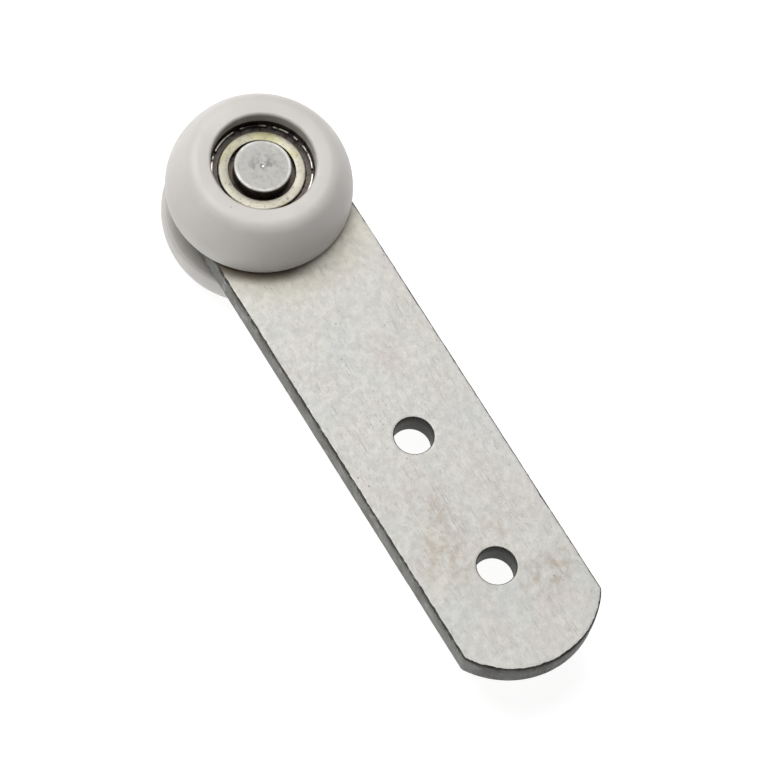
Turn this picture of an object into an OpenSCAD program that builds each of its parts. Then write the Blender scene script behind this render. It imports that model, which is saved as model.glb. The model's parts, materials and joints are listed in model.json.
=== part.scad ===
// Sliding door roller: a flat strap with a ball-bearing wheel on each face of it.
// Millimetres. The origin is where the axle's axis crosses the strap's middle plane.
// X runs along the strap to its free end, Z along the axle towards the front wheel.

/* [Strap] */
// Width across the flat strap
strap_w = 25.4; // [22:0.1:28]
// Thickness of the strap
strap_t = 4.76; // [3:0.01:6]
// Axle to the middle of the curved free end
strap_reach = 92.6; // [86:0.1:140]
// Radius of the shallow curve at the free end
free_end_r = 15.05; // [14.5:0.05:40]
// Diameter of the mounting holes
hole_d = 6.35; // [4:0.05:10]
// Axle to the nearer mounting hole
first_hole_x = 49.1; // [36:0.1:52]
// Distance between the two mounting holes
hole_pitch = 25.4; // [16:0.1:28]

/* [Axle] */
// Diameter of the axle pin
axle_d = 9.3; // [8:0.05:9.6]
// How far the pin stands out of each bearing's face
axle_stand_out = 1.54; // [0.6:0.02:2.2]
// Width of the bevel round the pin's ends
axle_bevel = 0.2; // [0.1:0.05:0.5]
// Diameter of the centre mark in the pin's ends
centre_mark_d = 0.7; // [0.4:0.1:1.5]

/* [Tyre] */
// Largest diameter of the tyre
tyre_d = 30.3; // [29:0.1:34]
// Radius of the tyre's domed tread
crown_r = 13.1; // [12.6:0.1:20]
// Height of the dome's centre above the strap's face
crown_centre_gap = 1.6; // [1:0.1:2]
// Radius of the shoulder between tread and outer face
shoulder_r = 2.8; // [1.6:0.1:3]
// Gap between the tyre and the strap
tyre_gap = 0.4; // [0.4:0.05:0.8]
// Thickness of the lip that covers the outer ring
outer_lip_t = 3.2; // [2:0.1:3.3]
// Diameter of the opening in the outer lip
outer_lip_d = 16.9; // [16.6:0.1:18]
// Rounding of the edge round the outer lip's opening
lip_round = 0.5; // [0.3:0.1:0.8]

/* [Bearing] */
// How much thicker the rear spacer is than the front one
rear_extra = 0.5; // [0:0.1:1]
// Width of the bearing
bearing_w = 6; // [5.6:0.1:6.4]
// Outer diameter of the outer ring
outer_ring_d = 22; // [21:0.1:23]
// Inner diameter of the outer ring's shoulders
outer_shoulder_d = 16.5; // [16.4:0.1:16.8]
// Outer diameter of the inner ring
inner_ring_d = 14.1; // [13.8:0.1:14.2]
// Width of the step at the outer mouth of the inner ring's bore
bore_step_w = 0.8; // [0.3:0.05:1]
// Depth of the step at the outer mouth of the inner ring's bore
bore_step_h = 1.3; // [0.5:0.05:1.4]
// Diameter of the balls
ball_d = 3; // [2.8:0.05:3.1]
// Number of balls in each bearing
ball_count = 9; // [6:1:9]
// Number of crimp notches round each shield
notch_count = 9; // [4:1:12]

/* [Hidden] */
$fn = 96;
// A gap left between a ball and what it rolls in
ball_play = 0.05;
// A cut runs this far past the face it opens
over = 1;

strap_face = strap_t / 2;
spacer_t = 1.1;
spacer_d = 13.4;
ring_in_z = strap_face + spacer_t;
ring_out_z = ring_in_z + bearing_w;
ball_z = (ring_in_z + ring_out_z) / 2;
axle_end_z = ring_out_z + axle_stand_out;

// Tyre section: dome centre, shoulder centre and the point where the two arcs meet
tyre_in_z = strap_face + tyre_gap;
tyre_out_z = ring_out_z + outer_lip_t;
crown_x = tyre_d / 2 - crown_r;
crown_z = strap_face + crown_centre_gap;
shoulder_z = tyre_out_z - shoulder_r;
shoulder_reach = crown_r - shoulder_r;
shoulder_x = crown_x + sqrt(pow(shoulder_reach, 2) - pow(shoulder_z - crown_z, 2));
meet_z = crown_z + (shoulder_z - crown_z) * crown_r / shoulder_reach;
inner_lip_d = 19.2;
tread_bevel = 0.5;

// Bearing: the balls' circle lies midway between the ring shoulders
pitch_r = (inner_ring_d + outer_shoulder_d) / 4;
groove_r = ball_d / 2 + ball_play;
ring_bevel = 0.2;
collar_t = 0.4;
collar_h = 1;
collar_z = ring_out_z + collar_h;
cage_t = 0.3;
cage_w = 0.7;
pocket_r = ball_d / 2 + ball_play;
rivet_r = 0.18;
rivet_head_r = 0.3;
rivet_head_t = 0.2;

// Shield: a thin disc held in a seat in the outer ring, with a raised rim
shield_t = 0.2;
shield_gap = 0.15;
shield_drop = 0.6;
shield_seat_d = outer_shoulder_d + 0.7;
rim_r = 7.95;
rim_w = 0.27;
rim_h = 0.6;
notch_w = 0.8;
notch_turn = 21;

// The rear wheel is the front one turned over, a little further from the strap
module on_rear() {
    translate([0, 0, -rear_extra]) mirror([0, 0, 1]) children();
}

// The half of a bearing nearest the strap is its outer half mirrored in the balls' plane
module facing_strap() {
    translate([0, 0, 2 * ball_z]) mirror([0, 0, 1]) children();
}

// Children are repeated at each ball's place, step turns them between the balls
module round_the_balls(step = 0) {
    for (i = [0 : ball_count - 1])
        rotate([0, 0, (i + step) * 360 / ball_count])
            translate([pitch_r, 0, ball_z])
                children();
}

// A plain ring standing on the plane z = 0
module tube(outer_r, inner_r, height) {
    difference() {
        cylinder(r = outer_r, h = height);
        translate([0, 0, -over]) cylinder(r = inner_r, h = height + 2 * over);
    }
}

module strap_outline() {
    end_x = strap_reach - free_end_r;
    side_x = end_x + sqrt(pow(free_end_r, 2) - pow(strap_w / 2, 2));
    circle(d = strap_w);
    translate([0, -strap_w / 2]) square([side_x, strap_w]);
    intersection() {
        translate([end_x, 0]) circle(r = free_end_r);
        translate([end_x, -strap_w / 2]) square([free_end_r, strap_w]);
    }
}

module strap() {
    color("lightsteelblue")
        translate([0, 0, -strap_face])
            linear_extrude(height = strap_t)
                difference() {
                    strap_outline();
                    circle(d = axle_d);
                    for (x = [first_hole_x, first_hole_x + hole_pitch])
                        translate([x, 0]) circle(d = hole_d);
                }
}

module axle() {
    r = axle_d / 2;
    mark_r = centre_mark_d / 2;
    rear_end_z = -axle_end_z - rear_extra;
    color("silver")
        rotate_extrude()
            polygon([
                [0, rear_end_z + mark_r],
                [mark_r, rear_end_z],
                [r - axle_bevel, rear_end_z],
                [r, rear_end_z + axle_bevel],
                [r, axle_end_z - axle_bevel],
                [r - axle_bevel, axle_end_z],
                [mark_r, axle_end_z],
                [0, axle_end_z - mark_r]
            ]);
}

// The solid outline of the tyre's section, before the bearing's pocket is cut
module tyre_section() {
    intersection() {
        translate([crown_x, crown_z]) circle(r = crown_r);
        translate([outer_lip_d / 2, tyre_in_z]) square([tyre_d, meet_z - tyre_in_z]);
    }
    translate([outer_lip_d / 2, tyre_in_z])
        square([shoulder_x - outer_lip_d / 2, tyre_out_z - tyre_in_z]);
    translate([shoulder_x, shoulder_z]) circle(r = shoulder_r);
}

// The scrap taken off the edge of the opening to round it
module lip_corner() {
    difference() {
        translate([outer_lip_d / 2 - over, tyre_out_z - lip_round])
            square([lip_round + over, lip_round + over]);
        translate([outer_lip_d / 2 + lip_round, tyre_out_z - lip_round]) circle(r = lip_round);
    }
}

module tyre() {
    tread_r = tyre_d / 2;
    color("ivory")
        rotate_extrude()
            difference() {
                tyre_section();
                lip_corner();
                translate([0, ring_in_z]) square([outer_ring_d / 2, bearing_w]);
                translate([0, ring_in_z])
                    square([outer_lip_d / 2 + collar_t, collar_z - ring_in_z]);
                translate([0, tyre_in_z - over]) square([inner_lip_d / 2, bearing_w]);
                polygon([
                    [tread_r - tread_bevel, tyre_in_z - over],
                    [tread_r - tread_bevel, tyre_in_z],
                    [tread_r + over, tyre_in_z + tread_bevel + over],
                    [tread_r + over, tyre_in_z - over]
                ]);
            }
}

// The groove both rings carry for the balls
module ball_groove() {
    translate([pitch_r, ball_z]) circle(r = groove_r);
}

// The ring's outer side carries a thin collar that lines the tyre's opening
module outer_ring() {
    outer_r = outer_ring_d / 2;
    opening_r = outer_lip_d / 2;
    seat_t = shield_drop + shield_t / 2;
    color("gray")
        rotate_extrude()
            difference() {
                union() {
                    translate([outer_shoulder_d / 2, ring_in_z])
                        square([outer_r - outer_shoulder_d / 2, bearing_w]);
                    translate([opening_r, ring_in_z])
                        square([collar_t, collar_z - ring_in_z]);
                }
                ball_groove();
                translate([0, ring_in_z - over]) square([shield_seat_d / 2, seat_t + over]);
                translate([0, ring_out_z - seat_t]) square([shield_seat_d / 2, seat_t]);
            }
}

module inner_ring() {
    bore_r = axle_d / 2;
    rim_edge = inner_ring_d / 2;
    color("khaki")
        rotate_extrude()
            difference() {
                polygon([
                    [bore_r, ring_in_z],
                    [rim_edge - ring_bevel, ring_in_z],
                    [rim_edge, ring_in_z + ring_bevel],
                    [rim_edge, ring_out_z - ring_bevel],
                    [rim_edge - ring_bevel, ring_out_z],
                    [bore_r + bore_step_w, ring_out_z],
                    [bore_r + bore_step_w, ring_out_z - bore_step_h],
                    [bore_r, ring_out_z - bore_step_h]
                ]);
                ball_groove();
            }
}

module balls() {
    color("gainsboro") round_the_balls() sphere(d = ball_d);
}

// A solid along the ring's radius through a ball's place, the shape of one pocket in the cage
module pocket(r) {
    rotate([0, 90, 0]) cylinder(r = r, h = 2 * cage_w, center = true);
}

// One pressed half of the cage: flat between the balls, arched over each of them
module cage_half() {
    color("goldenrod")
        difference() {
            intersection() {
                union() {
                    translate([0, 0, ball_z]) cylinder(r = pitch_r + cage_w, h = cage_t);
                    round_the_balls() pocket(pocket_r + cage_t);
                }
                translate([0, 0, ball_z])
                    tube(pitch_r + cage_w / 2, pitch_r - cage_w / 2, ball_d);
            }
            round_the_balls() pocket(pocket_r);
            round_the_balls(0.5) translate([0, 0, -over]) cylinder(r = rivet_r, h = 2 * over);
        }
}

module cage_rivets() {
    color("peru")
        round_the_balls(0.5) {
            translate([0, 0, -cage_t]) cylinder(r = rivet_r, h = 2 * cage_t);
            for (z = [-cage_t - rivet_head_t, cage_t])
                translate([0, 0, z]) cylinder(r = rivet_head_r, h = rivet_head_t);
        }
}

module shield() {
    top = ring_out_z - shield_drop + shield_t / 2;
    inner_r = inner_ring_d / 2 + shield_gap;
    color("dimgray")
        difference() {
            union() {
                translate([0, 0, top - shield_t])
                    tube(shield_seat_d / 2, inner_r, shield_t);
                translate([0, 0, top - shield_t])
                    tube(rim_r + rim_w, rim_r, shield_t + rim_h);
            }
            for (i = [0 : notch_count - 1])
                rotate([0, 0, notch_turn + i * 360 / notch_count])
                    translate([rim_r - over / 2, -notch_w / 2, top])
                        cube([over, notch_w, over]);
        }
}

// A plain washer standing on the strap's front face
module spacer(height) {
    color("darkgray")
        translate([0, 0, strap_face]) tube(spacer_d / 2, axle_d / 2, height);
}

strap();
axle();
tyre();  // front_tyre
outer_ring();  // front_outer_ring
inner_ring();  // front_inner_ring
balls();  // front_balls
cage_half();  // front_cage_outer_half
facing_strap() cage_half();  // front_cage_inner_half
cage_rivets();  // front_cage_rivets
shield();  // front_outer_shield
facing_strap() shield();  // front_inner_shield
spacer(spacer_t);  // front_spacer
on_rear() tyre();  // rear_tyre
on_rear() outer_ring();  // rear_outer_ring
on_rear() inner_ring();  // rear_inner_ring
on_rear() balls();  // rear_balls
on_rear() cage_half();  // rear_cage_outer_half
on_rear() facing_strap() cage_half();  // rear_cage_inner_half
on_rear() cage_rivets();  // rear_cage_rivets
on_rear() shield();  // rear_outer_shield
on_rear() facing_strap() shield();  // rear_inner_shield
mirror([0, 0, 1]) spacer(spacer_t + rear_extra);  // rear_spacer
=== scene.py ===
"""Looks of the sliding door roller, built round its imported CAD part.

Lengths are in millimetres until a mesh is made. The frame is the part's own: the origin is
where the axle's axis crosses the strap's middle plane, X runs to the strap's free end and
Z along the axle towards the front wheel.
"""

import json
import math

import bmesh
import bpy
from mathutils import Matrix, Vector, noise


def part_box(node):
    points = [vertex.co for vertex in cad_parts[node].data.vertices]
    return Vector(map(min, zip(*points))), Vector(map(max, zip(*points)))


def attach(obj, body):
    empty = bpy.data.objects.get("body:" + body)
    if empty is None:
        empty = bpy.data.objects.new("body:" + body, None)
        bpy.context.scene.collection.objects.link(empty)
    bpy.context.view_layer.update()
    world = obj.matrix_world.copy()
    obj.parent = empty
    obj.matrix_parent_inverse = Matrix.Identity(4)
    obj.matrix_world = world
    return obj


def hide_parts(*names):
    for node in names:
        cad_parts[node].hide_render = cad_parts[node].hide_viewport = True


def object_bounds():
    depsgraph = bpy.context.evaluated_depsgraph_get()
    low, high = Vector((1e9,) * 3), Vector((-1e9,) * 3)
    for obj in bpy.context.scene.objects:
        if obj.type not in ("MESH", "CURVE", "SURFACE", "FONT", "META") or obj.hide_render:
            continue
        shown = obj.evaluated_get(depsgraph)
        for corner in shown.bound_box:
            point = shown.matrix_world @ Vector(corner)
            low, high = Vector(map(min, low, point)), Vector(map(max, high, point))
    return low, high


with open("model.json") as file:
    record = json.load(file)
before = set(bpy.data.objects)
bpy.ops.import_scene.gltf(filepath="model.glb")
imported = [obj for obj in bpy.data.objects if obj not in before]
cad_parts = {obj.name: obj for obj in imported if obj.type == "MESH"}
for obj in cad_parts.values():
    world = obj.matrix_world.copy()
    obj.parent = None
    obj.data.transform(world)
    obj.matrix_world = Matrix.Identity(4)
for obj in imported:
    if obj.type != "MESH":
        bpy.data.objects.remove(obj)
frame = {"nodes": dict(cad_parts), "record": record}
cad_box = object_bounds()

MM = 0.001
SIDES = {"front": 1, "rear": -1}
ROUND = 192


def reach(node):
    """The highest corner of a CAD node's box, in millimetres."""
    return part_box(node)[1] / MM


def base(node):
    """The lowest corner of a CAD node's box, in millimetres."""
    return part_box(node)[0] / MM


def mount(name):
    """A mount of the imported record, by name."""
    return next(m for m in frame["record"]["mounts"] if m["name"] == name)


# Strap. A flat margin runs inside the outlines of its faces and holes, to keep the shading even
STRAP_TOP = reach("strap").z
STRAP_HALF = reach("strap").y
STRAP_END = reach("strap").x
FREE_END_R = 15.05
CORNER_R = 1.5
EDGE_MARGIN = 0.6
HOLE_MARGIN = 0.4
HOLE_FLARE = 0.16
BORE_FLARE = 0.1
BOLTS = mount("strap_bolts")
HOLE_R = BOLTS["dims"]["hole_r_mm"]
HOLE_MIDDLE = BOLTS["pos_m"][0] / MM
HOLE_PITCH = BOLTS["dims"]["spacing_x_mm"]
HOLE_XS = [HOLE_MIDDLE - HOLE_PITCH / 2, HOLE_MIDDLE + HOLE_PITCH / 2]

# Axle
AXLE_R = reach("axle").x
AXLE_END = reach("axle").z
AXLE_REAR_END = -base("axle").z
AXLE_BEVEL = 0.2

# Tyre
TYRE_R = reach("front_tyre").x
TYRE_OUT = reach("front_tyre").z
TYRE_IN = base("front_tyre").z
CROWN_R = 13.1
CROWN_Z = STRAP_TOP + 1.6
SHOULDER_R = 2.8
LIP_R = 8.45
LIP_ROUND = 0.5
TREAD_EDGE_R = 0.6
INNER_LIP_R = 9.6

# Bearing
RING_IN = base("front_inner_ring").z
RING_OUT = reach("front_inner_ring").z
INNER_RING_R = reach("front_inner_ring").x
OUTER_RING_R = reach("front_outer_ring").x
SHOULDER_BORE_R = 8.25
BALL_Z = (RING_IN + RING_OUT) / 2
PITCH_R = (INNER_RING_R + SHOULDER_BORE_R) / 2
GROOVE_R = 1.55
STEP_W = 0.8
STEP_H = 1.3
RING_BEVEL = 0.2
MOUTH_BEVEL = 0.08
COLLAR_R = LIP_R + 0.4
COLLAR_TOP = reach("front_outer_ring").z
SHIELD_R = reach("front_outer_shield").x
SHIELD_T = 0.2
SHIELD_TOP = RING_OUT - 0.5
SHIELD_GAP = 0.15
RIM_R = 7.95
RIM_W = 0.27
RIM_TOP = reach("front_outer_shield").z
RIM_EDGE = 0.05
NOTCHES = 9
NOTCH_TURN = 21
NOTCH_HALF_TURN = 2.6

# The rear wheel is the front one turned over and this much further from the strap
REAR_EXTRA = -base("rear_tyre").z - TYRE_OUT

# Where the inner rings are yellowed and where the shields' rims are darkened
YELLOWED = (-5.2, 3.5)
RIM_DARK_PLACE = (-7.5, 2.5)

# Stains on the strap: along, across, radius, strength
STAINS = [
    (65.0, -4.8, 6.5, 0.55),
    (59.5, -3.5, 5.0, 0.45),
    (70.5, -6.5, 7.0, 0.55),
    (79.5, 5.5, 6.0, 0.70),
    (68.0, 4.5, 5.0, 0.40),
    (78.6, 9.3, 4.0, 0.50),
    (34.6, 4.3, 5.0, 0.25),
]

# Studio, in metres: the floor's glow, the camera, and each light's direction, size and power
FLOOR_GLOW = 0.84
LENS = 257.9
CAMERA_PLACE = (0.31771, -0.26603, 0.78596)
CAMERA_BACK = (0.3190, -0.3051, 0.8973)
CAMERA_UP = (-0.7994, 0.4220, 0.4277)
WORLD_GLOW = 0.26
LIGHT_DISTANCE = 0.9
LIGHTS = {
    "key": ((-0.48, -0.05, 1.06), 0.8, 9.8),
    "fill": ((-0.50, -0.85, 0.12), 0.6, 1.0),
}


# ---------------------------------------------------------------- shapes


def arc(centre, radius, start, end, steps=10):
    """Points round a centre from one angle to another, in degrees."""
    turns = [math.radians(start + (end - start) * i / steps) for i in range(steps + 1)]
    return [(centre[0] + radius * math.cos(a), centre[1] + radius * math.sin(a)) for a in turns]


def smooth_by_angle(shape, limit=math.radians(32)):
    """Shades the faces smooth and keeps an edge sharp where they meet at more than limit."""
    for face in shape.faces:
        face.smooth = True
    for edge in shape.edges:
        edge.smooth = edge.calc_face_angle(math.pi) < limit


def make_piece(name, shape, materials, body, nodes):
    """Turns a bmesh in millimetres into a piece that rides on a body and stands for CAD nodes."""
    bmesh.ops.recalc_face_normals(shape, faces=shape.faces)
    bmesh.ops.scale(shape, vec=(MM, MM, MM), verts=shape.verts)
    smooth_by_angle(shape)
    mesh = bpy.data.meshes.new(name)
    shape.to_mesh(mesh)
    shape.free()
    for material in materials:
        mesh.materials.append(material)
    piece = bpy.data.objects.new(name, mesh)
    bpy.context.scene.collection.objects.link(piece)
    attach(piece, body)
    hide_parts(*nodes)
    return piece


def placed(height, sign):
    """A height in the front wheel, or the matching one in the rear wheel if sign is -1."""
    return height if sign > 0 else -(height + REAR_EXTRA)


def lathe(profile, sign=1, segments=ROUND):
    """A bmesh turned round Z from a closed profile of (radius, height) in the front or rear wheel."""
    shape = bmesh.new()
    rings = []
    for radius, level in profile:
        height = placed(level, sign)
        if radius < 1e-6:
            rings.append([shape.verts.new((0, 0, height))])
            continue
        turns = [2 * math.pi * k / segments for k in range(segments)]
        rings.append(
            [
                shape.verts.new((radius * math.cos(a), radius * math.sin(a), height))
                for a in turns
            ]
        )
    for one, two in zip(rings, rings[1:] + rings[:1]):
        for k in range(segments):
            corners = [one[k % len(one)], one[(k + 1) % len(one)]]
            corners += [two[(k + 1) % len(two)], two[k % len(two)]]
            corners = list(dict.fromkeys(corners))
            if len(corners) > 2:
                shape.faces.new(corners)
    return shape


# ---------------------------------------------------------------- materials


class Nodes:
    """A material and its node tree, with a short method for each kind of node used."""

    def __init__(self, name, **sockets):
        self.material = bpy.data.materials.new(name)
        self.material.use_nodes = True
        self.tree = self.material.node_tree
        self.shader = self.tree.nodes["Principled BSDF"]
        for socket, value in sockets.items():
            self.shader.inputs[socket.replace("_", " ")].default_value = value
        where = self.tree.nodes.new("ShaderNodeTexCoord").outputs["Object"]
        self.place = self.vector("SCALE", where, scale=1 / MM)

    def put(self, socket, value):
        """Links a value to a socket, or sets it there."""
        if isinstance(value, bpy.types.NodeSocket):
            self.tree.links.new(value, socket)
        else:
            socket.default_value = value

    def vector(self, operation, a, b=None, scale=None):
        """The result of a vector calculation: a number for DISTANCE and LENGTH, else a vector."""
        node = self.tree.nodes.new("ShaderNodeVectorMath")
        node.operation = operation
        self.put(node.inputs[0], a)
        if b is not None:
            self.put(node.inputs[1], b)
        if scale is not None:
            node.inputs["Scale"].default_value = scale
        return node.outputs["Value" if operation in ("DISTANCE", "LENGTH") else "Vector"]

    def number(self, operation, a, b=0.0, clamp=True):
        """The result of a calculation with one or two numbers, kept between 0 and 1 if clamp is set."""
        node = self.tree.nodes.new("ShaderNodeMath")
        node.operation = operation
        node.use_clamp = clamp
        self.put(node.inputs[0], a)
        self.put(node.inputs[1], b)
        return node.outputs[0]

    def stretched(self, stretch, turn=0.0, shift=0.0):
        """The place turned round Z by some degrees, then stretched along each axis."""
        node = self.tree.nodes.new("ShaderNodeMapping")
        node.inputs["Rotation"].default_value = (0, 0, math.radians(turn))
        node.inputs["Scale"].default_value = stretch
        node.inputs["Location"].default_value = (shift, shift, shift)
        self.put(node.inputs["Vector"], self.place)
        return node.outputs[0]

    def noise(self, scale, detail=4.0, roughness=0.55, distortion=0.0, place=None):
        """Noise with about scale features a millimetre."""
        node = self.tree.nodes.new("ShaderNodeTexNoise")
        self.put(node.inputs["Vector"], place or self.place)
        node.inputs["Scale"].default_value = scale
        node.inputs["Detail"].default_value = detail
        node.inputs["Roughness"].default_value = roughness
        node.inputs["Distortion"].default_value = distortion
        return node.outputs["Fac"]

    def cells(self, scale):
        """Distance to the nearest of scattered points."""
        node = self.tree.nodes.new("ShaderNodeTexVoronoi")
        self.put(node.inputs["Vector"], self.place)
        node.inputs["Scale"].default_value = scale
        return node.outputs["Distance"]

    def ease(self, value, low, high, start=0.0, end=1.0):
        """Maps low..high to start..end with soft ends."""
        node = self.tree.nodes.new("ShaderNodeMapRange")
        node.interpolation_type = "SMOOTHSTEP"
        self.put(node.inputs["Value"], value)
        limits = (("From Min", low), ("From Max", high), ("To Min", start), ("To Max", end))
        for socket, limit in limits:
            node.inputs[socket].default_value = limit
        return node.outputs["Result"]

    def mix(self, share, a, b, blend="MIX"):
        """Mixes two colours."""
        node = self.tree.nodes.new("ShaderNodeMix")
        node.data_type = "RGBA"
        node.blend_type = blend
        self.put(node.inputs["Factor"], share)
        self.put(node.inputs["A"], colour(a))
        self.put(node.inputs["B"], colour(b))
        return node.outputs["Result"]

    def parts(self):
        """The place's X, Y and Z."""
        node = self.tree.nodes.new("ShaderNodeSeparateXYZ")
        self.put(node.inputs[0], self.place)
        return node.outputs

    def axle_distance(self):
        """Distance from the axle's axis."""
        flat = self.vector("MULTIPLY", self.place, (1, 1, 0))
        return self.vector("LENGTH", flat)

    def bump(self, height, depth, below=None):
        """Bump whose height runs over depth millimetres."""
        node = self.tree.nodes.new("ShaderNodeBump")
        node.inputs["Distance"].default_value = depth * MM
        self.put(node.inputs["Height"], height)
        if below is not None:
            self.put(node.inputs["Normal"], below)
        return node.outputs[0]

    def finish(self, base_colour, roughness, normal):
        """Links the shader's main sockets and returns the material."""
        self.put(self.shader.inputs["Base Color"], base_colour)
        self.put(self.shader.inputs["Roughness"], roughness)
        self.put(self.shader.inputs["Normal"], normal)
        return self.material


def colour(value):
    """A colour socket as it is, or three numbers with an alpha of 1."""
    if isinstance(value, bpy.types.NodeSocket):
        return value
    return (*value, 1.0)


def nylon():
    """Off-white moulded nylon: soft sheen, faint clouding, light grime and fine scuffs."""
    n = Nodes("nylon", Subsurface_Weight=0.3, Subsurface_Scale=1.2 * MM, IOR=1.5)
    n.shader.inputs["Subsurface Radius"].default_value = (1.0, 0.8, 0.6)
    clouds = n.ease(n.noise(0.09, 3.0), 0.35, 0.65)
    tint = n.mix(clouds, (0.495, 0.475, 0.455), (0.525, 0.506, 0.478))
    grime = n.number("MULTIPLY", n.ease(n.noise(0.5, 6.0, 0.65), 0.52, 0.8), 0.25)
    tint = n.mix(grime, tint, (0.42, 0.39, 0.34))
    specks = n.ease(n.cells(0.42), 0.10, 0.04)
    specks = n.number("MULTIPLY", specks, n.ease(n.noise(0.22, 2.0), 0.56, 0.62))
    tint = n.mix(n.number("MULTIPLY", specks, 0.45), tint, (0.20, 0.17, 0.15))
    # Painted shade round the lip of the opening, where the pocket begins, broken up by noise
    round_lip = n.ease(n.axle_distance(), LIP_R + 0.6, LIP_R)
    lip_shade = n.number("MULTIPLY", round_lip, n.ease(n.noise(0.8, 5.0), 0.3, 0.7, 0.05, 0.35))
    tint = n.mix(lip_shade, tint, (0.30, 0.26, 0.20))
    scuffs = n.noise(1.0, 5.0, 0.6, place=n.stretched((0.5, 0.5, 9.0)))
    skin = n.noise(6.0, 3.0)
    roughness = n.ease(n.noise(0.3, 5.0), 0.2, 0.8, 0.36, 0.52)
    return n.finish(tint, roughness, n.bump(skin, 0.006, n.bump(scuffs, 0.012)))


def patch(n, x, y, radius):
    """A soft round patch about a place seen along Z."""
    far = n.vector("DISTANCE", n.vector("MULTIPLY", n.place, (1, 1, 0)), (x, y, 0))
    return n.ease(far, radius, radius * 0.25)


def smudge(n, x, y, radius, strength):
    """A soft stain round a place on the strap, broken up by noise."""
    ragged = n.ease(n.noise(0.45, 6.0, 0.7), 0.38, 0.68)
    near = n.number("MULTIPLY", patch(n, x, y, radius), ragged)
    return n.number("MULTIPLY", near, strength)


def zinc_face():
    """Zinc plated strap face: pale grey with faint cool, pink and warm clouds, stains and scratches,
    with painted light round the wheel and a painted shadow under it.
    """
    n = Nodes("zinc_face", Metallic=0.2, Specular_IOR_Level=0.35)
    cool = n.ease(n.noise(0.11, 5.0, 0.6), 0.42, 0.66)
    warm = n.ease(n.noise(0.13, 5.0, 0.6, place=n.stretched((1, 1, 1), 30, 40)), 0.44, 0.66)
    pink = n.ease(n.noise(0.16, 5.0, 0.6, place=n.stretched((1, 1, 1), 60, 90)), 0.46, 0.68)
    tint = n.mix(n.number("MULTIPLY", cool, 0.7), (0.500, 0.492, 0.470), (0.455, 0.470, 0.450))
    tint = n.mix(n.number("MULTIPLY", warm, 0.6), tint, (0.530, 0.508, 0.455))
    tint = n.mix(n.number("MULTIPLY", pink, 0.6), tint, (0.500, 0.458, 0.440))
    mottle = n.ease(n.noise(0.75, 7.0, 0.72), 0.33, 0.67)
    tint = n.mix(n.number("MULTIPLY", mottle, 0.30), tint, (0.46, 0.46, 0.44))
    grain = n.ease(n.noise(3.2, 4.0, 0.7), 0.55, 0.75)
    tint = n.mix(n.number("MULTIPLY", grain, 0.22), tint, (0.36, 0.35, 0.33))
    # Painted light: the strap face paler and warmer round the wheel
    painted_wheel_light = n.ease(n.axle_distance(), TYRE_R + 9.0, TYRE_R + 1.0)
    tint = n.mix(n.number("MULTIPLY", painted_wheel_light, 0.45), tint, (0.640, 0.600, 0.480))
    for x, y, radius, strength in STAINS:
        tint = n.mix(smudge(n, x, y, radius, strength), tint, (0.34, 0.28, 0.22))
    pits = n.number(
        "MULTIPLY", n.ease(n.cells(0.55), 0.16, 0.05), n.ease(n.noise(0.3, 3.0), 0.50, 0.58)
    )
    pits = n.number("MULTIPLY", pits, n.ease(n.noise(2.4, 3.0), 0.42, 0.58))
    tint = n.mix(n.number("MULTIPLY", pits, 0.6), tint, (0.17, 0.16, 0.13))
    flecks = n.ease(n.noise(1.5, 5.0, 0.75, place=n.stretched((0.8, 1.3, 1), 25)), 0.55, 0.66)
    tint = n.mix(n.number("MULTIPLY", flecks, 0.5), tint, (0.34, 0.33, 0.30))
    glints = n.ease(n.noise(1.8, 5.0, 0.75, place=n.stretched((1, 1, 1), 70, 55)), 0.60, 0.74)
    tint = n.mix(n.number("MULTIPLY", glints, 0.35), tint, (0.72, 0.71, 0.69))
    # Painted shadow on the strap face under the wheel, strongest towards -Y
    wheel_shadow = n.ease(n.axle_distance(), TYRE_R + 2.3, TYRE_R + 0.2)
    wheel_shadow = n.number("MULTIPLY", wheel_shadow, n.ease(n.parts()["Y"], 4.0, -4.0))
    tint = n.mix(n.number("MULTIPLY", wheel_shadow, 0.85), tint, (0.10, 0.075, 0.045))
    marks = 0.0
    for turn, shift in ((8, 0), (-37, 17), (64, 31)):
        line = n.noise(1.0, 2.0, 0.5, place=n.stretched((0.22, 5.5, 1.0), turn, shift))
        line = n.number("MULTIPLY", n.ease(line, 0.66, 0.74), n.ease(n.noise(0.2, 2.0), 0.45, 0.6))
        marks = n.number("ADD", line, marks)
    tint = n.mix(n.number("MULTIPLY", marks, 0.30), tint, (0.30, 0.29, 0.26))
    worn = n.number("ADD", n.number("MULTIPLY", mottle, 0.5), pits)
    roughness = n.ease(mottle, 0.0, 1.0, 0.46, 0.62)
    flat = n.bump(n.noise(0.9, 5.0, 0.65), 0.05)
    return n.finish(tint, roughness, n.bump(n.number("ADD", worn, marks), 0.02, flat))


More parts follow.
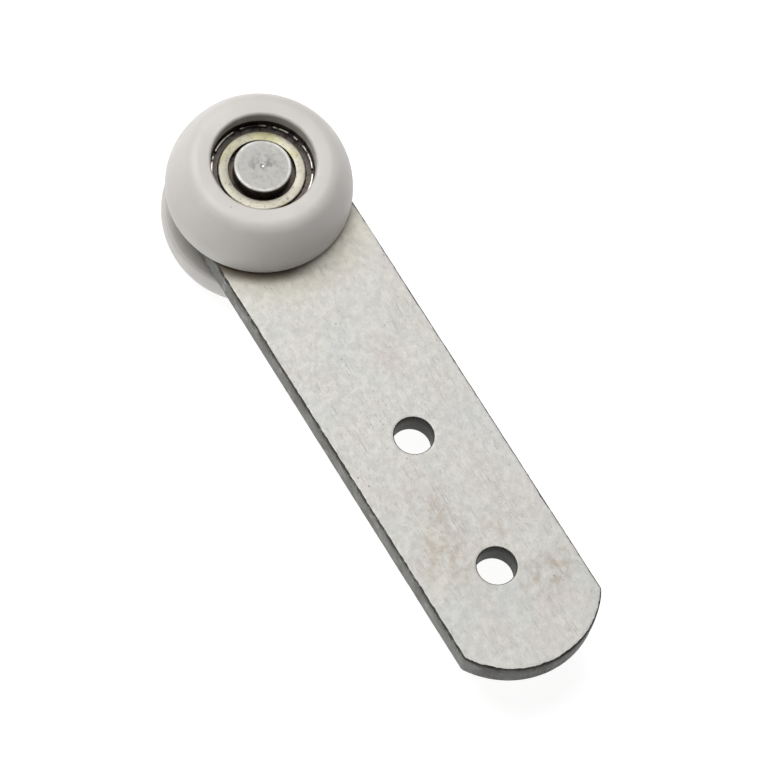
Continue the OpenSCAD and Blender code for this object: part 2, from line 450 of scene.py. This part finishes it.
def sheared_edge():
    """The strap's cut sides: darker steel with streaks across the thickness."""
    n = Nodes("sheared_edge", Metallic=0.4, Specular_IOR_Level=0.35)
    height = n.parts()["Z"]
    streaks = n.noise(1.0, 5.0, 0.65, place=n.stretched((2.6, 2.6, 0.35)))
    tint = n.mix(n.ease(streaks, 0.35, 0.68), (0.10, 0.10, 0.092), (0.20, 0.20, 0.188))
    blotch = n.ease(n.noise(0.22, 6.0, 0.65), 0.44, 0.62)
    tint = n.mix(n.number("MULTIPLY", blotch, 0.75), tint, (0.075, 0.070, 0.055))
    rubbed = n.ease(n.noise(0.35, 6.0, 0.65, place=n.stretched((1, 1, 1), 15, 27)), 0.52, 0.66)
    tint = n.mix(n.number("MULTIPLY", rubbed, 0.6), tint, (0.34, 0.335, 0.32))
    # Painted shade on the cut side round the strap's free end, deeper towards +Y
    end_shade = n.ease(n.parts()["X"], STRAP_END - 7.0, STRAP_END - 4.0)
    end_shade = n.number("MULTIPLY", end_shade, n.ease(n.parts()["Y"], -10.0, 3.0, 0.55, 0.92))
    tint = n.mix(end_shade, tint, (0.028, 0.027, 0.025))
    ragged = n.ease(n.noise(0.9, 5.0, 0.7), 0.38, 0.60, -0.35, 0.25)
    ragged_height = n.number("ADD", height, ragged, clamp=False)
    rolled = n.ease(ragged_height, STRAP_TOP - 0.45, STRAP_TOP - 0.25)
    tint = n.mix(n.number("MULTIPLY", rolled, 0.85), tint, (0.035, 0.032, 0.027))
    roughness = n.ease(streaks, 0.2, 0.8, 0.38, 0.62)
    return n.finish(tint, roughness, n.bump(streaks, 0.06))


def hole_wall():
    """The punched walls of the strap's holes, streaked steel made very dark as painted shade inside the
    holes.
    """
    n = Nodes("hole_wall", Metallic=0.4, Specular_IOR_Level=0.3)
    streaks = n.noise(1.0, 5.0, 0.65, place=n.stretched((3.0, 3.0, 0.3)))
    # The steel is painted very dark here, as the shade inside the holes
    tint = n.mix(n.ease(streaks, 0.35, 0.7), (0.030, 0.029, 0.025), (0.085, 0.083, 0.074))
    return n.finish(tint, n.ease(streaks, 0.2, 0.8, 0.45, 0.65), n.bump(streaks, 0.05))


def ring_steel():
    """Ground bearing steel, slightly yellowed, with turning marks and small dark nicks."""
    n = Nodes("ring_steel", Metallic=0.45, Specular_IOR_Level=0.4)
    from_axle = n.axle_distance()
    yellow = n.number("ADD", patch(n, *YELLOWED, 4.0), n.ease(n.noise(0.3, 3.0), 0.5, 0.7))
    tint = n.mix(yellow, (0.330, 0.313, 0.255), (0.275, 0.260, 0.148))
    turned = n.noise(1.0, 3.0, 0.6, place=n.stretched((0.4, 0.4, 0.4)))
    nicks = n.ease(n.noise(2.3, 5.0, 0.7), 0.56, 0.66)
    tint = n.mix(n.number("MULTIPLY", nicks, 0.75), tint, (0.10, 0.09, 0.06))
    rings = n.number("SINE", n.number("MULTIPLY", from_axle, 60.0, clamp=False), clamp=False)
    height = n.number("ADD", n.number("MULTIPLY", rings, 0.1), nicks)
    return n.finish(tint, n.ease(turned, 0.2, 0.8, 0.28, 0.45), n.bump(height, 0.01))


def axle_steel():
    """The axle pin: pale ends with smudges round the centre mark, a painted highlight round each end's
    rim, a painted white glint in the centre mark, and dark greasy sides that are partly painted shade.
    """
    n = Nodes("axle_steel", Metallic=0.3, Specular_IOR_Level=0.35)
    from_axle = n.axle_distance()
    smears = n.ease(n.noise(0.85, 3.0, 0.5), 0.46, 0.64)
    middle = n.ease(from_axle, 3.2, 0.5)
    tint = n.mix(n.number("MULTIPLY", smears, middle), (0.280, 0.277, 0.262), (0.12, 0.12, 0.12))
    mottle = n.ease(n.noise(1.8, 5.0, 0.7), 0.45, 0.7)
    tint = n.mix(n.number("MULTIPLY", mottle, 0.35), tint, (0.19, 0.185, 0.17))
    # Painted highlight round the rim of the end, broken up by noise; the mask named worn holds this
    # highlight
    rim = n.ease(from_axle, AXLE_R - 0.7, AXLE_R - 0.3)
    worn = n.number("MULTIPLY", rim, n.ease(n.noise(0.4, 3.0), 0.35, 0.65, 0.25, 0.8))
    tint = n.mix(worn, tint, (0.52, 0.51, 0.48))
    # Painted glint: a white spot in the centre mark
    centre_glint = n.ease(from_axle, 0.26, 0.14)
    tint = n.mix(centre_glint, tint, (0.92, 0.92, 0.92))
    return n.finish(tint, n.ease(mottle, 0.0, 1.0, 0.34, 0.5), n.bump(mottle, 0.004))


def greasy_shaded_steel(name, dark, light, shine=0.5):
    """Very dark oily steel, for the bearing parts deep in the recess; its darkness is partly painted
    shade of the recess.
    """
    n = Nodes(name, Metallic=shine, Specular_IOR_Level=0.35)
    film = n.ease(n.noise(0.9, 5.0, 0.65), 0.35, 0.68)
    spots = n.ease(n.noise(3.5, 3.0), 0.6, 0.75)
    tint = n.mix(film, dark, light)
    roughness = n.ease(film, 0.0, 1.0, 0.25, 0.5)
    return n.finish(tint, roughness, n.bump(n.number("ADD", film, spots), 0.02))


def plain_metal(name, one, two, metallic, smooth, rough):
    """A clean metal with faint clouding and fine marks, for the pieces inside the bearing."""
    n = Nodes(name, Metallic=metallic)
    clouds = n.noise(0.5, 5.0)
    marks = n.noise(4.0, 3.0)
    tint = n.mix(n.ease(clouds, 0.3, 0.7), one, two)
    return n.finish(tint, n.ease(marks, 0.3, 0.7, smooth, rough), n.bump(marks, 0.004))


def worn_rim():
    """The top of a shield's crimped rim: bright steel, dark round one place and in scattered patches.
    """
    n = Nodes("worn_rim", Metallic=0.7)
    rim_darkening = n.number("ADD", patch(n, *RIM_DARK_PLACE, 2.6), n.ease(n.noise(0.8, 4.0), 0.50, 0.62))
    tint = n.mix(rim_darkening, (0.66, 0.64, 0.56), (0.045, 0.034, 0.034))
    marks = n.noise(4.0, 3.0)
    return n.finish(tint, n.ease(marks, 0.3, 0.7, 0.25, 0.45), n.bump(marks, 0.004))


LOOK = {
    "nylon": nylon(),
    "zinc": zinc_face(),
    "edge": sheared_edge(),
    "hole": hole_wall(),
    "ring": ring_steel(),
    "axle": axle_steel(),
    # The dark and shield steels are partly painted shade of the recess, with an oily film
    "dark": greasy_shaded_steel("dark_steel", (0.022, 0.018, 0.013), (0.080, 0.062, 0.048)),
    "shield": greasy_shaded_steel("shield_steel", (0.036, 0.029, 0.026), (0.098, 0.078, 0.068)),
    "rim": worn_rim(),
    "ball": plain_metal("ball_steel", (0.70, 0.70, 0.71), (0.80, 0.80, 0.80), 1.0, 0.06, 0.14),
    "cage": plain_metal("cage_brass", (0.60, 0.44, 0.18), (0.72, 0.56, 0.28), 1.0, 0.3, 0.45),
    "rivet": plain_metal("rivet_steel", (0.48, 0.46, 0.42), (0.62, 0.60, 0.55), 1.0, 0.3, 0.45),
    "spacer": plain_metal("spacer_steel", (0.42, 0.42, 0.41), (0.56, 0.56, 0.55), 0.9, 0.3, 0.5),
}


# ---------------------------------------------------------------- strap


def strap_loop(inset, steps=36, side_steps=150):
    """The strap's outline moved in by inset, always with the same number of points."""
    half = STRAP_HALF
    end_x = STRAP_END - FREE_END_R
    corner_y = half - CORNER_R
    corner_x = end_x + math.sqrt((FREE_END_R - CORNER_R) ** 2 - corner_y**2)
    lean = math.degrees(math.atan2(corner_y, corner_x - end_x))
    loop = arc((0, 0), half - inset, 90, 270, 2 * steps)
    side = [(corner_x * i / side_steps, -half + inset) for i in range(1, side_steps)]
    loop += side
    loop += arc((corner_x, -corner_y), CORNER_R - inset, -90, -lean, steps // 3)
    loop += arc((end_x, 0), FREE_END_R - inset, -lean, lean, 2 * steps)[1:-1]
    loop += arc((corner_x, corner_y), CORNER_R - inset, lean, 90, steps // 3)
    loop += [(x, -y) for x, y in reversed(side)]
    return loop


def wobble(x, y, z, scale, seed):
    """Repeatable noise from -1 to 1."""
    return noise.noise(Vector((x * scale + seed, y * scale, z * scale)))


def strap_wall():
    """Inset, height and nicks down the strap's side: rolled edge, smooth band, torn band, low edge."""
    top = STRAP_TOP
    return [
        (EDGE_MARGIN, top, 0.0),
        (0.20, top - 0.005, 0.30),
        (0.10, top - 0.05, 0.42),
        (0.04, top - 0.14, 0.30),
        (0.00, top - 0.34, 0.08),
        (0.00, top - 1.20, 0.03),
        (0.00, 0.30, 0.03),
        (0.05, -0.10, 0.06),
        (0.09, -0.90, 0.07),
        (0.10, -top + 0.55, 0.07),
        (0.12, -top + 0.22, 0.06),
        (0.20, -top + 0.06, 0.06),
        (0.32, -top + 0.005, 0.04),
        (EDGE_MARGIN, -top, 0.0),
    ]


def bridge(shape, one, two, index):
    """Joins two loops of the same length with quads."""
    for k, _ in enumerate(one):
        after = (k + 1) % len(one)
        face = shape.faces.new((one[k], one[after], two[after], two[k]))
        face.material_index = index


def loops_of(shape, outlines):
    """Vertices for a list of (points, height)."""
    return [[shape.verts.new((x, y, z)) for x, y in points] for points, z in outlines]


def cap(shape, loops):
    """Fills a flat face bounded by several loops."""
    edges = []
    for loop in loops:
        for k, vert in enumerate(loop):
            edges.append(shape.edges.get((vert, loop[(k + 1) % len(loop)])))
    bmesh.ops.triangle_fill(shape, use_beauty=True, use_dissolve=False, edges=edges)


def hole_outlines(x, radius, flare):
    """A punched hole's wall from top to bottom, with its edges eased by flare."""
    top = STRAP_TOP
    levels = [
        (radius + flare + HOLE_MARGIN, top),
        (radius + flare, top - 0.005),
        (radius + 0.35 * flare, top - 0.35 * flare),
        (radius, top - flare),
        (radius, 0.4),
        (radius + 0.3 * flare, -0.4),
        (radius + 0.3 * flare, -top + flare),
        (radius + flare, -top + 0.005),
        (radius + flare + HOLE_MARGIN, -top),
    ]
    return [(arc((x, 0), r, 0, 360, 96)[:-1], z) for r, z in levels]


def nicked_inward(rim, core, z, amount):
    """Moves each point of rim towards its partner in core by small random nicks."""
    moved = []
    for (x, y), (cx, cy) in zip(rim, core):
        small = abs(wobble(x, y, z, 1.1, 3.0)) + 0.6 * abs(wobble(x, y, z, 3.1, 9.0))
        deep = max(0.0, wobble(x, y, 0.3 * z, 0.45, 21.0) - 0.28)
        pull = min(0.9, 2 * amount * (small + 2.5 * deep))
        moved.append((x + (cx - x) * pull, y + (cy - y) * pull))
    return moved


def build_strap():
    """The strap, with separate looks for its faces, its cut sides and its holes."""
    shape = bmesh.new()
    outlines = []
    for inset, z, amount in strap_wall():
        rim = strap_loop(inset)
        core = strap_loop(inset + EDGE_MARGIN / 2)
        outlines.append((nicked_inward(rim, core, z, amount), z))
    wall = loops_of(shape, outlines)
    for k, (one, two) in enumerate(zip(wall, wall[1:])):
        bridge(shape, one, two, 0 if k in (0, len(wall) - 2) else 1)
    tops, bottoms = [wall[0]], [wall[-1]]
    holes = [(0.0, AXLE_R, BORE_FLARE)] + [(x, HOLE_R, HOLE_FLARE) for x in HOLE_XS]
    for x, radius, flare in holes:
        rings = loops_of(shape, hole_outlines(x, radius, flare))
        for k, (one, two) in enumerate(zip(rings, rings[1:])):
            bridge(shape, one, two, 0 if k in (0, len(rings) - 2) else 2)
        tops.append(rings[0])
        bottoms.append(rings[-1])
    cap(shape, tops)
    cap(shape, bottoms)
    return make_piece(
        "strap_steel",
        shape,
        [LOOK["zinc"], LOOK["edge"], LOOK["hole"]],
        "mounting_arm",
        ["strap"],
    )


# ---------------------------------------------------------------- axle


def end_height(x, y):
    """How far the axle's end face is pressed in at a place: centre mark, star and small dents."""
    from_centre = math.hypot(x, y)
    depth = 0.16 * math.exp(-((from_centre / 0.22) ** 2))
    turn = math.atan2(y, x)
    for k in range(4):
        off_line = from_centre * abs(math.sin(turn - math.radians(20 + 45 * k)))
        depth += 0.018 * math.exp(-((off_line / 0.09) ** 2) - (from_centre / 1.1) ** 2)
    dents = max(0.0, wobble(x, y, 5.0, 0.6, 40.0) - 0.2)
    return depth + 0.03 * dents


def build_axle():
    """The pin, with dense rings on its end faces so that the pressed marks are real."""
    face_r = AXLE_R - AXLE_BEVEL
    rings = 30
    ends = []
    for end in (AXLE_REAR_END, AXLE_END):
        face = [(face_r * k / rings, end) for k in range(rings)]
        ends.append(face + arc((face_r, end - AXLE_BEVEL), AXLE_BEVEL, 90, 0, 5))
    rear, front = ends
    shape = lathe([(r, -z) for r, z in rear] + front[::-1])
    for vert in shape.verts:
        end = AXLE_END if vert.co.z > 0 else AXLE_REAR_END
        if abs(vert.co.z) > end - 1e-4 and vert.co.xy.length < face_r:
            pressed = end_height(vert.co.x, vert.co.y)
            vert.co.z -= math.copysign(pressed, vert.co.z)
    # The sides take the dark steel, partly painted shade of the recess
    for face in shape.faces:
        if abs(face.calc_center_median().z) < AXLE_END - 1.2 * AXLE_BEVEL:
            face.material_index = 1
    looks = [LOOK["axle"], LOOK["dark"]]
    return make_piece("axle_pin", shape, looks, "mounting_arm", ["axle"])


# ---------------------------------------------------------------- wheels


def tyre_profile():
    """The tyre's section: inner lip, domed tread, shoulder, face, rounded lip and bearing pocket."""
    crown = (TYRE_R - CROWN_R, CROWN_Z)
    shoulder_z = TYRE_OUT - SHOULDER_R
    gap = CROWN_R - SHOULDER_R
    shoulder_x = crown[0] + math.sqrt(gap**2 - (shoulder_z - crown[1]) ** 2)
    meet = math.degrees(math.atan2(shoulder_z - crown[1], shoulder_x - crown[0]))
    edge = TREAD_EDGE_R
    low = math.degrees(math.asin((TYRE_IN + edge - crown[1]) / (CROWN_R - edge)))
    edge_x = crown[0] + (CROWN_R - edge) * math.cos(math.radians(low))
    profile = [(INNER_LIP_R, TYRE_IN), (INNER_LIP_R + 1.5, TYRE_IN), (edge_x - 1.0, TYRE_IN)]
    profile += arc((edge_x, TYRE_IN + edge), edge, -90, low, 8)
    profile += arc(crown, CROWN_R, low, meet, 30)[1:]
    profile += arc((shoulder_x, shoulder_z), SHOULDER_R, meet, 90, 16)[1:]
    profile += arc((LIP_R + LIP_ROUND, TYRE_OUT - LIP_ROUND), LIP_ROUND, 90, 180, 10)
    profile += [(LIP_R, COLLAR_TOP), (COLLAR_R, COLLAR_TOP)]
    profile += [(COLLAR_R, RING_OUT), (OUTER_RING_R, RING_OUT)]
    profile += [(OUTER_RING_R, RING_IN), (INNER_LIP_R, RING_IN)]
    return profile


def outer_ring_profile():
    """The outer ring's section, with its ball groove, shield seats and the opening's collar."""
    seat_top = SHIELD_TOP - SHIELD_T
    seat_low = 2 * BALL_Z - seat_top
    half = math.degrees(math.acos((SHOULDER_BORE_R - PITCH_R) / GROOVE_R))
    profile = [(OUTER_RING_R, RING_IN), (OUTER_RING_R, RING_OUT), (COLLAR_R, RING_OUT)]
    profile += [(COLLAR_R, COLLAR_TOP), (LIP_R, COLLAR_TOP)]
    profile += [(LIP_R, RING_OUT), (SHIELD_R, RING_OUT), (SHIELD_R, seat_top)]
    profile += [(SHOULDER_BORE_R, seat_top)]
    profile += arc((PITCH_R, BALL_Z), GROOVE_R, half, -half, 16)
    profile += [(SHOULDER_BORE_R, seat_low), (SHIELD_R, seat_low), (SHIELD_R, RING_IN)]
    return profile


def inner_ring_profile():
    """The inner ring's section, with its ball groove, eased edges and stepped mouth."""
    half = math.degrees(math.acos((PITCH_R - INNER_RING_R) / GROOVE_R))
    step_r = AXLE_R + STEP_W
    edge_r = INNER_RING_R - RING_BEVEL
    profile = [(AXLE_R, RING_IN)]
    profile += arc((edge_r, RING_IN + RING_BEVEL), RING_BEVEL, -90, 0, 5)
    profile += arc((PITCH_R, BALL_Z), GROOVE_R, 180 + half, 180 - half, 16)
    profile += arc((edge_r, RING_OUT - RING_BEVEL), RING_BEVEL, 0, 90, 5)
    profile += arc((step_r + MOUTH_BEVEL, RING_OUT - MOUTH_BEVEL), MOUTH_BEVEL, 90, 180, 3)
    profile += [(step_r, RING_OUT - STEP_H), (AXLE_R, RING_OUT - STEP_H)]
    return profile


def shield_profile():
    """A shield's section: seat, raised rim and the disc that reaches in to the inner ring."""
    inner = INNER_RING_R + SHIELD_GAP
    outer = RIM_R + RIM_W
    low = SHIELD_TOP - SHIELD_T
    profile = [(inner, low), (SHIELD_R, low), (SHIELD_R, SHIELD_TOP)]
    profile += [(outer, SHIELD_TOP), (outer, RIM_TOP - RIM_EDGE)]
    profile += [(outer - RIM_EDGE, RIM_TOP), (RIM_R + RIM_EDGE, RIM_TOP)]
    profile += [(RIM_R, RIM_TOP - RIM_EDGE), (RIM_R, SHIELD_TOP), (inner, SHIELD_TOP)]
    return profile


def notch_share(x, y):
    """How much of the rim is left at an angle: none in a notch, all of it between them."""
    turn = ((math.degrees(math.atan2(y, x)) - NOTCH_TURN) * NOTCHES / 360) % 1
    off_notch = min(turn, 1 - turn) * 360 / NOTCHES
    return min(1.0, max(0.0, off_notch - NOTCH_HALF_TURN))


def build_shield(side, which, sign, about):
    """A shield on either face of a bearing. The inner one is turned over in the balls' plane."""
    profile = shield_profile()
    if about:
        profile = [(r, 2 * BALL_Z - z) for r, z in profile]
    shape = lathe(profile, sign, 2 * ROUND)
    face_z = 2 * BALL_Z - SHIELD_TOP if about else SHIELD_TOP
    rim_z = 2 * BALL_Z - RIM_TOP if about else RIM_TOP
    face_z, rim_z = placed(face_z, sign), placed(rim_z, sign)
    for vert in shape.verts:
        above = vert.co.z - face_z
        if above * (rim_z - face_z) > 1e-6:
            vert.co.z = face_z + above * notch_share(vert.co.x, vert.co.y)
    for face in shape.faces:
        middle = face.calc_center_median()
        on_rim = RIM_R < middle.xy.length < RIM_R + RIM_W
        if on_rim and abs(middle.z - rim_z) < 0.04:
            face.material_index = 1
    node = f"{side}_{which}_shield"
    looks = [LOOK["shield"], LOOK["rim"]]
    return make_piece(f"{node}_steel", shape, looks, f"{side}_wheel", [node])


def build_wheel(side, sign):
    """One wheel's tyre, bearing rings and shields. The balls and cage inside stay as CAD nodes."""
    wheel = f"{side}_wheel"
    tyre = lathe(tyre_profile(), sign, 2 * ROUND)
    make_piece(f"{side}_tyre_nylon", tyre, [LOOK["nylon"]], wheel, [f"{side}_tyre"])
    outer = lathe(outer_ring_profile(), sign)
    node = f"{side}_outer_ring"
    make_piece(f"{node}_steel", outer, [LOOK["dark"]], wheel, [node])
    inner = lathe(inner_ring_profile(), sign)
    # The step and the inner faces take the dark steel, partly painted shade of the recess
    for face in inner.faces:
        middle = face.calc_center_median()
        in_step = middle.xy.length < AXLE_R + STEP_W + 0.02
        if in_step or abs(middle.z) < abs(placed(RING_OUT, sign)) - 0.3:
            face.material_index = 1
    node = f"{side}_inner_ring"
    looks = [LOOK["ring"], LOOK["dark"]]
    make_piece(f"{node}_steel", inner, looks, "mounting_arm", [node])
    build_shield(side, "outer", sign, False)
    build_shield(side, "inner", sign, True)


def paint_inside():
    """Gives the CAD nodes that are shown as they are their better materials."""
    looks = {
        "balls": "ball",
        "cage_outer_half": "cage",
        "cage_inner_half": "cage",
        "cage_rivets": "rivet",
        "spacer": "spacer",
    }
    for side in SIDES:
        for part, look in looks.items():
            for slot in frame["nodes"][f"{side}_{part}"].material_slots:
                slot.material = LOOK[look]


# ---------------------------------------------------------------- studio


def make_floor():
    """A pale floor that glows a little, as a light table does."""
    shape = bmesh.new()
    bmesh.ops.create_grid(shape, x_segments=2, y_segments=2, size=3.0)
    mesh = bpy.data.meshes.new("floor")
    shape.to_mesh(mesh)
    shape.free()
    floor = bpy.data.objects.new("floor", mesh)
    bpy.context.scene.collection.objects.link(floor)
    floor.location.z = cad_box[0][2] - 0.0001
    n = Nodes("floor_paint")
    pale = n.mix(n.noise(0.002), (0.30, 0.30, 0.30), (0.33, 0.33, 0.33))
    n.put(n.shader.inputs["Base Color"], pale)
    n.shader.inputs["Roughness"].default_value = 0.9
    n.shader.inputs["Specular IOR Level"].default_value = 0.1
    n.shader.inputs["Emission Color"].default_value = (1, 1, 1, 1)
    n.shader.inputs["Emission Strength"].default_value = FLOOR_GLOW
    mesh.materials.append(n.material)


def make_light(name, direction, size, power):
    """A square soft light aimed at the middle of the roller."""
    data = bpy.data.lights.new(name, "AREA")
    data.shape = "SQUARE"
    data.size = size
    data.energy = power
    light = bpy.data.objects.new(name, data)
    towards = Vector(direction).normalized()
    light.location = Vector((0.035, 0, 0)) + towards * LIGHT_DISTANCE
    light.rotation_euler = towards.to_track_quat("Z", "Y").to_euler()
    bpy.context.scene.collection.objects.link(light)


def make_world():
    """Even white light from all round."""
    world = bpy.data.worlds.new("studio")
    world.use_nodes = True
    world.node_tree.nodes["Background"].inputs["Color"].default_value = (1, 1, 1, 1)
    world.node_tree.nodes["Background"].inputs["Strength"].default_value = WORLD_GLOW
    bpy.context.scene.world = world


def make_camera():
    """A long lens that looks steeply down along the strap, rolled a little."""
    data = bpy.data.cameras.new("camera")
    data.sensor_width = 36
    data.lens = LENS
    data.clip_end = 20
    camera = bpy.data.objects.new("camera", data)
    bpy.context.scene.collection.objects.link(camera)
    back = Vector(CAMERA_BACK).normalized()
    right = Vector(CAMERA_UP).cross(back).normalized()
    up = back.cross(right)
    turn = Matrix((right, up, back)).transposed().to_4x4()
    camera.matrix_world = Matrix.Translation(CAMERA_PLACE) @ turn
    bpy.context.scene.camera = camera


build_strap()
build_axle()
for wheel_side, wheel_sign in SIDES.items():
    build_wheel(wheel_side, wheel_sign)
paint_inside()
make_floor()
make_world()
for light_name, (light_direction, light_size, light_power) in LIGHTS.items():
    make_light(light_name, light_direction, light_size, light_power)
make_camera()
bpy.context.scene.view_settings.view_transform = "Standard"
